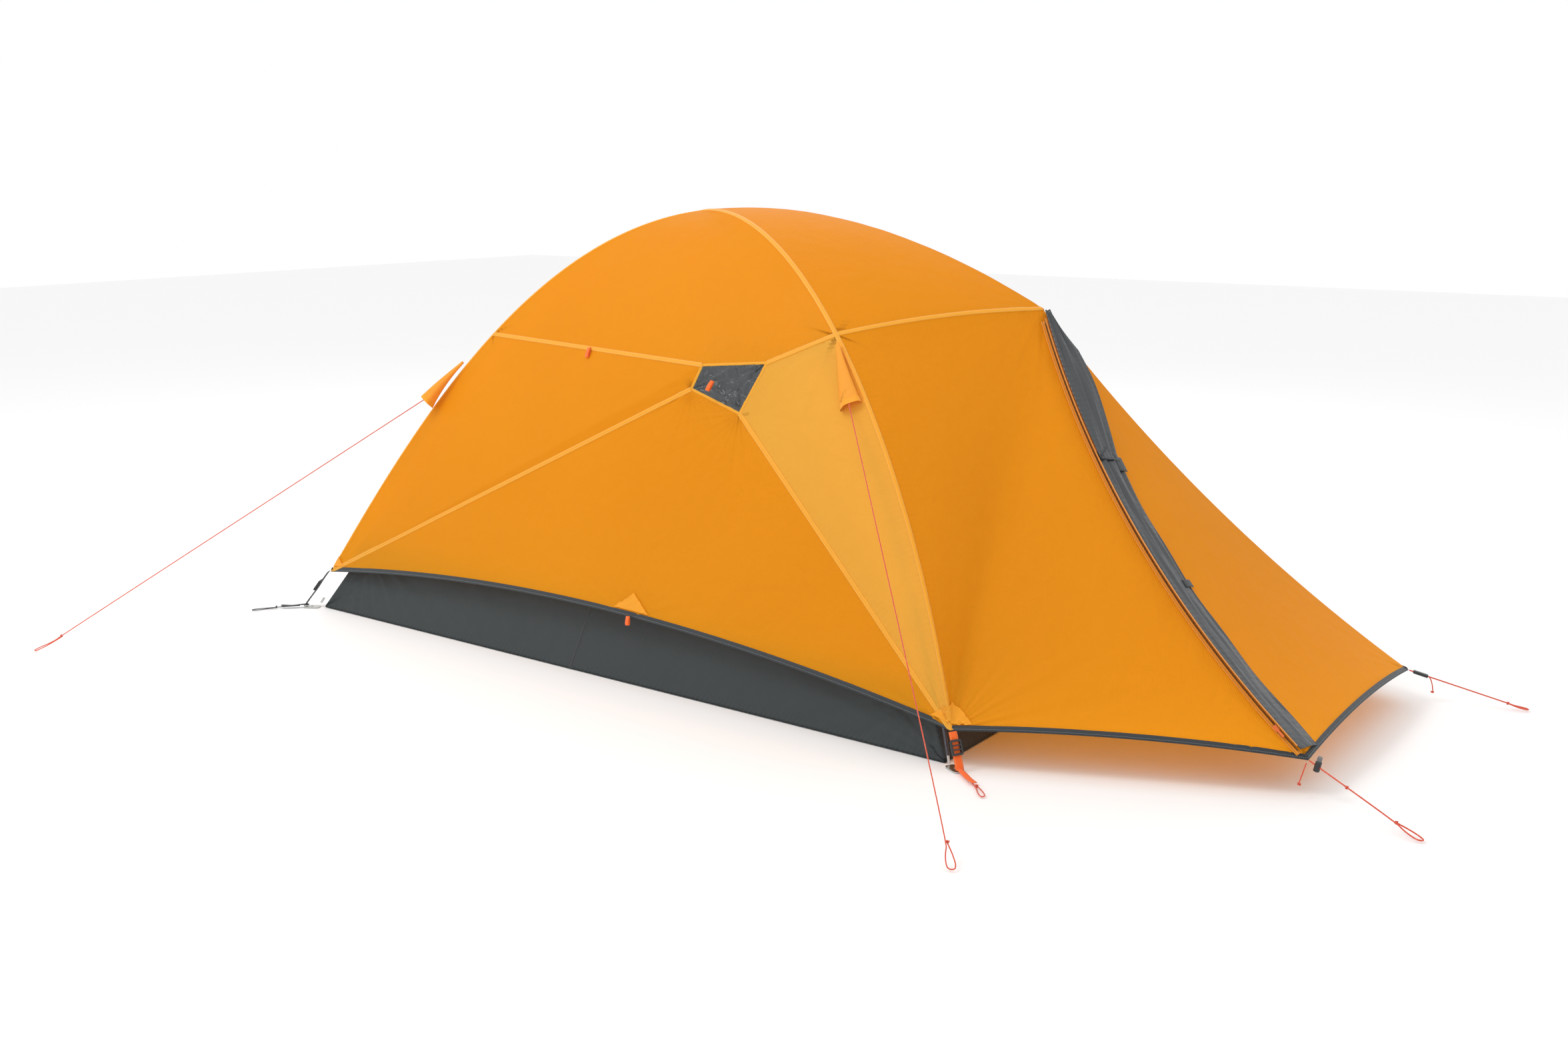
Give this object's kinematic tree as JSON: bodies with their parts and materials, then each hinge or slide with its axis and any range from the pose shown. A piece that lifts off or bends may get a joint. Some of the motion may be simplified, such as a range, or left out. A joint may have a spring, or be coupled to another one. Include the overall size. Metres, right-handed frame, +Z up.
{
  "type": "tent",
  "caption": "Pitched mountain tent on crossing poles and a brow pole: inner tent with bathtub floor, orange fly with a zipped front vestibule, vent, corner buckles and guylines",
  "frame": {"origin": "on the ground at the middle of the floor sheet", "axes": "+X towards the vestibule, +Y to the tent's right side, +Z up"},
  "size_m": [3.339, 1.9617, 1.1451],
  "materials": {
    "fly_orange": "translucent ripstop, light sheen",
    "fly_pale": "translucent ripstop, lighter orange",
    "grey_cloth": "dark grey ripstop",
    "hem_tape": "dark grey folded tape with stitching",
    "webbing": "woven orange webbing",
    "mesh": "fine black insect mesh",
    "bathtub_cloth": "coated charcoal floor cloth",
    "inner_cloth": "breathable pale grey cloth",
    "pole_tube": "anodised alloy tube",
    "bright_metal": "bare metal",
    "zip_metal": "painted slider",
    "black_plastic": "moulded acetal",
    "grey_plastic": "moulded acetal",
    "guy_cord": "braided coral cord"
  },
  "bodies": {
    "tent": {"bathtub_walls": "bathtub_cloth", "brow_pole": "pole_tube", "canopy_clips": "black_plastic", "cord_knots": "guy_cord", "corner_feet": "bright_metal", "corner_straps": "webbing", "floor_sheet": "bathtub_cloth", "fly_gore_left": "fly_pale", "fly_gore_right": "fly_pale", "fly_gussets": "grey_cloth", "fly_hem_tapes": "hem_tape", "fly_rear_side_left": "fly_orange", "fly_rear_side_right": "fly_orange", "fly_rear_wall": "fly_orange", "fly_roof_front": "fly_orange", "fly_roof_left": "fly_orange", "fly_roof_right": "fly_orange", "fly_side_left": "fly_orange", "fly_side_right": "fly_orange", "fly_webbing_loops": "webbing", "front_left_ground_loop": "guy_cord", "front_left_guyline": "guy_cord", "guy_cones": "fly_orange", "inner_front_wall": "inner_cloth", "inner_rear": "inner_cloth", "inner_roof_front": "inner_cloth", "inner_side_left": "inner_cloth", "inner_side_right": "inner_cloth", "main_pole_from_rear_left": "pole_tube", "main_pole_from_rear_right": "pole_tube", "pole_crossing_clips": "black_plastic", "pole_sleeves": "pole_tube", "pole_tips": "bright_metal", "rear_left_ground_loop": "guy_cord", "rear_left_guyline": "guy_cord", "storm_flap": "grey_cloth", "vent_hood": "grey_cloth", "vent_mesh": "mesh", "vestibule_cord_left": "guy_cord", "vestibule_cord_right": "guy_cord", "vestibule_cord_tail_left": "guy_cord", "vestibule_front": "fly_orange", "vestibule_shoulder": "fly_orange", "vestibule_shoulder_right": "fly_orange", "vestibule_side_right": "fly_orange"},
    "vestibule_door": {"vestibule_door": "fly_orange", "vestibule_zip_tape": "hem_tape", "vestibule_door_hem_tape": "hem_tape"},
    "zip_slider": {"vestibule_zip_slider": "zip_metal"},
    "inner_door": {"inner_door": "inner_cloth"},
    "vent_strut": {"vent_strut": "black_plastic"},
    "cord_lock": {"cord_lock": "black_plastic"},
    "cord_lock_button": {"cord_lock_button": "grey_plastic"},
    "cord_tensioner": {"cord_tensioner": "black_plastic", "vestibule_cord_tail_right": "guy_cord", "tail_knot_right": "guy_cord"},
    "buckle_rear_left": {"corner_buckle_rear_left": "black_plastic"},
    "buckle_rear_right": {"corner_buckle_rear_right": "black_plastic"},
    "buckle_front_left": {"corner_buckle_front_left": "black_plastic"},
    "buckle_front_right": {"corner_buckle_front_right": "black_plastic"}
  },
  "joints": [
    {"name": "vestibule_door_swing", "type": "hinge", "parent": "tent", "child": "vestibule_door", "pos_m": [1.07359, -0.6454, 0.08059], "axis": [0.1259, -0.6038, -0.7871], "range_deg": [0, 90]},
    {"name": "zip_slider_travel", "type": "hinge", "parent": "vestibule_door", "child": "zip_slider", "pos_m": [3.31583, 0.89715, 1.90579], "axis": [0.1199, -0.8605, 0.4951], "range_deg": [-21.64, 0]},
    {"name": "inner_door_fold", "type": "hinge", "parent": "tent", "child": "inner_door", "pos_m": [0.9784, 0, 0.1723], "axis": [0, -1, 0], "range_deg": [0, 55]},
    {"name": "vent_strut_fold", "type": "hinge", "parent": "tent", "child": "vent_strut", "pos_m": [1.0751, -0.0554, 0.735], "axis": [-0.103, -0.9946, -0.0144], "range_deg": [0, 40]},
    {"name": "cord_lock_slide", "type": "slide", "parent": "tent", "child": "cord_lock", "axis": [0.8839, -0.3943, -0.2516], "range_m": [0, 0.055]},
    {"name": "cord_lock_press", "type": "slide", "parent": "cord_lock", "child": "cord_lock_button", "axis": [-0.2297, 0.1025, -0.9678], "range_m": [0, 0.004], "stiffness_N_per_m": 300},
    {"name": "cord_tensioner_slide", "type": "slide", "parent": "tent", "child": "cord_tensioner", "axis": [0.9213, 0.287, -0.2622], "range_m": [0, 0.08]},
    {"name": "buckle_rear_left_tilt", "type": "hinge", "parent": "tent", "child": "buckle_rear_left", "pos_m": [-1.0616, -0.5487, 0.0805], "axis": [-0.4879, 0.8729, 0], "range_deg": [0, 35]},
    {"name": "buckle_rear_right_tilt", "type": "hinge", "parent": "tent", "child": "buckle_rear_right", "pos_m": [-1.0616, 0.5487, 0.0805], "axis": [0.4879, 0.8729, 0], "range_deg": [0, 35]},
    {"name": "buckle_front_left_tilt", "type": "hinge", "parent": "tent", "child": "buckle_front_left", "pos_m": [1.0884, -0.6537, 0.0658], "axis": [-0.4883, -0.8727, 0], "range_deg": [0, 35]},
    {"name": "buckle_front_right_tilt", "type": "hinge", "parent": "tent", "child": "buckle_front_right", "pos_m": [1.0884, 0.6537, 0.0658], "axis": [0.4883, -0.8727, 0], "range_deg": [0, 35]}
  ]
}
